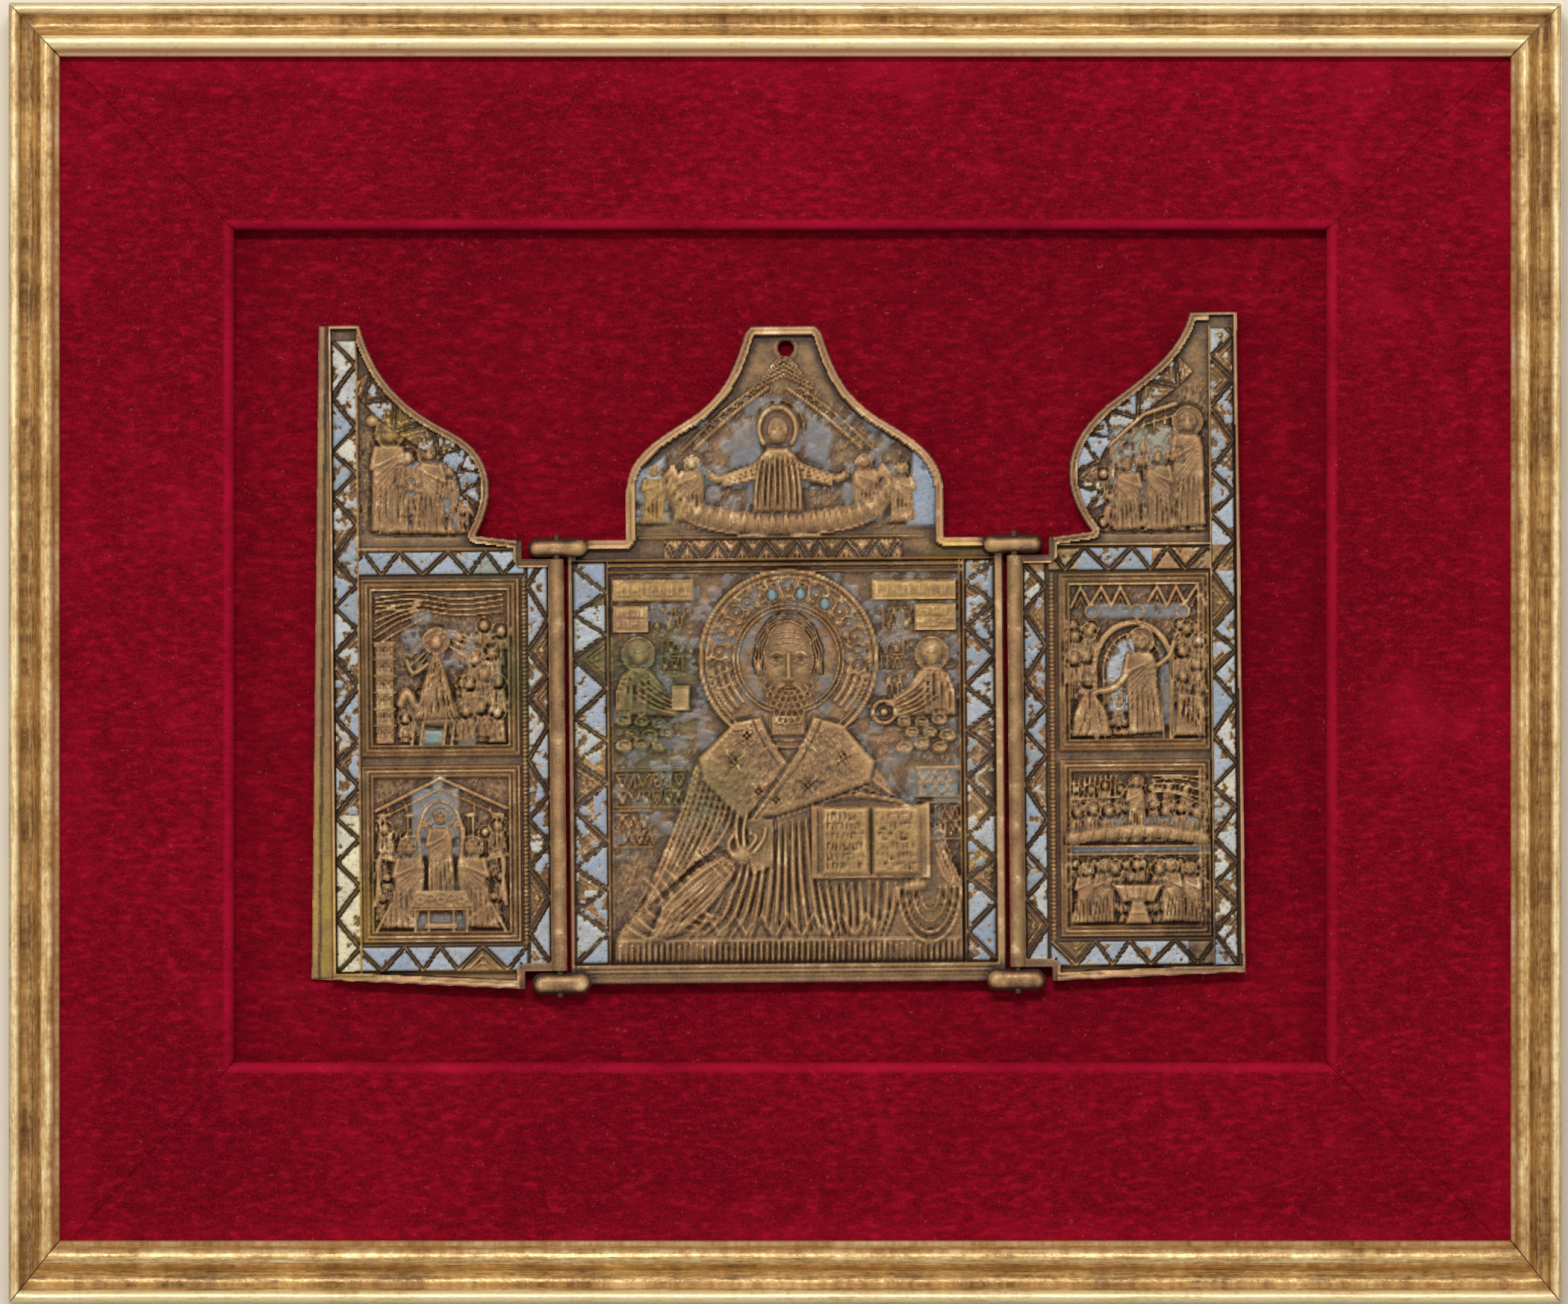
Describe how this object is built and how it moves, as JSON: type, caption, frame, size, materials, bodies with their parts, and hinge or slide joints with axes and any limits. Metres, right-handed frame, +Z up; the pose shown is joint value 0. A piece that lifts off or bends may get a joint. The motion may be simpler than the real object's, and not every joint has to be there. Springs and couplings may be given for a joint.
{
  "type": "framed triptych altarpiece",
  "caption": "Small cast brass and enamel folding triptych with a crested middle leaf and two hinged wings, on a velvet ground in a gilt wooden frame.",
  "frame": {"origin": "middle of the flat back of the backing board, which lies against the wall", "axes": "+Z up, +Y out of the back towards the wall, +X to the viewer's right, so the front looks along -Y"},
  "size_m": [0.3272, 0.0174, 0.2742],
  "materials": {
    "gilt_wood": "worn gold leaf over brown bole on moulded wood",
    "velvet": "crimson silk velvet glued over thin board",
    "board": "plain aged softwood",
    "brass": "aged cast brass with pale blue champleve enamel in its cells",
    "iron": "darkened wire"
  },
  "bodies": {
    "framed_panel": {"frame_top": "gilt_wood", "frame_left": "gilt_wood", "frame_bottom": "gilt_wood", "frame_right": "gilt_wood", "velvet_liner_top": "velvet", "velvet_liner_left": "velvet", "velvet_liner_bottom": "velvet", "velvet_liner_right": "velvet", "velvet_ground": "velvet", "backing_board": "board", "centre_panel": "brass", "left_hinge_pin": "iron", "right_hinge_pin": "iron"},
    "left_wing": {"left_wing": "brass"},
    "right_wing": {"right_wing": "brass"}
  },
  "joints": [
    {"name": "left_wing_hinge", "type": "hinge", "parent": "framed_panel", "child": "left_wing", "pos_m": [-0.0479, -0.0104, -0.02362], "axis": [-0.0087, 0, 1], "range_deg": [0, 180]},
    {"name": "right_wing_hinge", "type": "hinge", "parent": "framed_panel", "child": "right_wing", "pos_m": [0.04869, -0.0104, -0.02278], "axis": [0.0087, 0, -1], "range_deg": [0, 180]}
  ]
}
